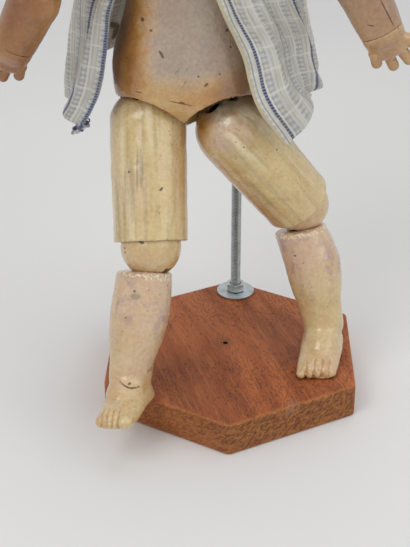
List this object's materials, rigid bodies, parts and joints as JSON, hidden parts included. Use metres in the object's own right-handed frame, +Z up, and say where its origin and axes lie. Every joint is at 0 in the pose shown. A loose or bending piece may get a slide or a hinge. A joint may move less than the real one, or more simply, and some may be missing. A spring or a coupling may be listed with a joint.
{
  "type": "bisque doll on a stand",
  "caption": "Ball-jointed composition doll with a bisque head and open checked shirt, stepping off a hexagonal wooden stand with a steel rod and waist clip.",
  "frame": {"origin": "centre of the hexagonal base, on its underside", "axes": "+Z up along the rod; the doll faces -Y, and its own left side is +X; a corner of the base points to -Y"},
  "size_m": [0.282, 0.2446, 0.5066],
  "materials": {
    "wood": "oiled, open grain",
    "zinc": "zinc plated",
    "skin": "aged glossy flesh lacquer on composition",
    "wire": "plain steel wire",
    "elastic": "woven cover on rubber",
    "cloth": "washed cotton check",
    "bisque": "matt tinted bisque",
    "turned_wood": "plain",
    "card": "plain",
    "hair": "mohair",
    "eye_glass": "blown glass, opaque",
    "lead": "dull"
  },
  "bodies": {
    "stand_and_torso": {"stand_base": "wood", "stand_rod": "zinc", "base_washer": "zinc", "base_nut": "zinc", "under_washer": "zinc", "under_nut": "zinc", "waist_clip": "zinc", "clip_washer": "zinc", "clip_lower_nut": "zinc", "clip_upper_nut": "zinc", "torso": "skin", "neck_hook": "wire", "leg_elastic": "elastic", "arm_elastic": "elastic", "shirt": "cloth"},
    "head": {"head": "bisque", "neck_button": "turned_wood", "pate": "card", "wig": "hair"},
    "eyes": {"eye_left": "eye_glass", "eye_right": "eye_glass", "eye_wire": "wire", "eye_weight": "lead"},
    "shoulder_ball_left": {"shoulder_ball_left": "skin"},
    "upper_arm_left": {"upper_arm_left": "skin", "upper_arm_elastic_left": "elastic"},
    "elbow_ball_left": {"elbow_ball_left": "skin"},
    "forearm_left": {"forearm_left": "skin", "forearm_elastic_left": "elastic"},
    "hand_left": {"hand_left": "skin", "wrist_hook_left": "wire"},
    "thigh_left": {"thigh_left": "skin", "thigh_elastic_left": "elastic"},
    "knee_ball_left": {"knee_ball_left": "skin"},
    "lower_leg_left": {"lower_leg_left": "skin", "shin_elastic_left": "elastic", "leg_anchor_left": "wire"},
    "shoulder_ball_right": {"shoulder_ball_right": "skin"},
    "upper_arm_right": {"upper_arm_right": "skin", "upper_arm_elastic_right": "elastic"},
    "elbow_ball_right": {"elbow_ball_right": "skin"},
    "forearm_right": {"forearm_right": "skin", "forearm_elastic_right": "elastic"},
    "hand_right": {"hand_right": "skin", "wrist_hook_right": "wire"},
    "thigh_right": {"thigh_right": "skin", "thigh_elastic_right": "elastic"},
    "knee_ball_right": {"knee_ball_right": "skin"},
    "lower_leg_right": {"lower_leg_right": "skin", "shin_elastic_right": "elastic", "leg_anchor_right": "wire"}
  },
  "joints": [
    {"name": "neck_turn", "type": "hinge", "parent": "stand_and_torso", "child": "head", "pos_m": [-0.0301, 0.006, 0.38362], "axis": [0, 0, 1], "range_deg": [-70, 70]},
    {"name": "eyes_sleep", "type": "hinge", "parent": "head", "child": "eyes", "pos_m": [-0.0301, -0.01985, 0.44862], "axis": [1, 0, 0], "range_deg": [0, 50]},
    {"name": "shoulder_swing_left", "type": "hinge", "parent": "stand_and_torso", "child": "shoulder_ball_left", "pos_m": [0.0169, 0, 0.34362], "axis": [-1, 0, 0], "range_deg": [-8, 75]},
    {"name": "shoulder_raise_left", "type": "hinge", "parent": "shoulder_ball_left", "child": "upper_arm_left", "pos_m": [0.0169, 0, 0.34362], "axis": [0, -0.1331, 0.9911], "range_deg": [-8, 30]},
    {"name": "elbow_twist_left", "type": "hinge", "parent": "upper_arm_left", "child": "elbow_ball_left", "pos_m": [0.06695, -0.04562, 0.33749], "axis": [0.736, -0.6709, -0.0901], "range_deg": [-80, 80]},
    {"name": "elbow_bend_left", "type": "hinge", "parent": "elbow_ball_left", "child": "forearm_left", "pos_m": [0.06695, -0.04562, 0.33749], "axis": [0.6638, 0.6893, 0.2902], "range_deg": [-60, 8]},
    {"name": "wrist_turn_left", "type": "hinge", "parent": "forearm_left", "child": "hand_left", "pos_m": [0.09453, -0.04982, 0.28437], "axis": [0.4597, -0.0699, -0.8853], "range_deg": [-80, 80]},
    {"name": "hip_swing_left", "type": "hinge", "parent": "stand_and_torso", "child": "thigh_left", "pos_m": [0.0005, 0, 0.20032], "axis": [-0.6646, -0.4065, -0.6269], "range_deg": [0, 20]},
    {"name": "knee_twist_left", "type": "hinge", "parent": "thigh_left", "child": "knee_ball_left", "pos_m": [0.04949, 0.02115, 0.13467], "axis": [0.579, 0.25, -0.776], "range_deg": [-45, 0]},
    {"name": "knee_bend_left", "type": "hinge", "parent": "knee_ball_left", "child": "lower_leg_left", "pos_m": [0.04949, 0.02115, 0.13467], "axis": [-0.6989, 0.6424, -0.3145], "range_deg": [0, 15]},
    {"name": "shoulder_swing_right", "type": "hinge", "parent": "stand_and_torso", "child": "shoulder_ball_right", "pos_m": [-0.0771, 0, 0.34362], "axis": [-1, 0, 0], "range_deg": [-8, 75]},
    {"name": "shoulder_raise_right", "type": "hinge", "parent": "shoulder_ball_right", "child": "upper_arm_right", "pos_m": [-0.0771, 0, 0.34362], "axis": [0, 0.2841, -0.9588], "range_deg": [-4, 42]},
    {"name": "elbow_twist_right", "type": "hinge", "parent": "upper_arm_right", "child": "elbow_ball_right", "pos_m": [-0.11324, -0.05523, 0.32726], "axis": [-0.5314, -0.8122, -0.2407], "range_deg": [-80, 80]},
    {"name": "elbow_bend_right", "type": "hinge", "parent": "elbow_ball_right", "child": "forearm_right", "pos_m": [-0.11324, -0.05523, 0.32726], "axis": [0.8056, -0.3967, -0.4401], "range_deg": [-60, 4]},
    {"name": "wrist_turn_right", "type": "hinge", "parent": "forearm_right", "child": "hand_right", "pos_m": [-0.14083, -0.05223, 0.27406], "axis": [-0.4598, 0.05, -0.8866], "range_deg": [-80, 80]},
    {"name": "hip_swing_right", "type": "hinge", "parent": "stand_and_torso", "child": "thigh_right", "pos_m": [-0.0586, -0.004, 0.20562], "axis": [-0.6465, 0.66, -0.3827], "range_deg": [0, 38]},
    {"name": "knee_twist_right", "type": "hinge", "parent": "thigh_right", "child": "knee_ball_right", "pos_m": [-0.0553, -0.04396, 0.13113], "axis": [0.039, -0.4723, -0.8806], "range_deg": [-45, 0]},
    {"name": "knee_bend_right", "type": "hinge", "parent": "knee_ball_right", "child": "lower_leg_right", "pos_m": [-0.0553, -0.04396, 0.13113], "axis": [0.4815, 0.7811, -0.3976], "range_deg": [-45, 32]}
  ]
}
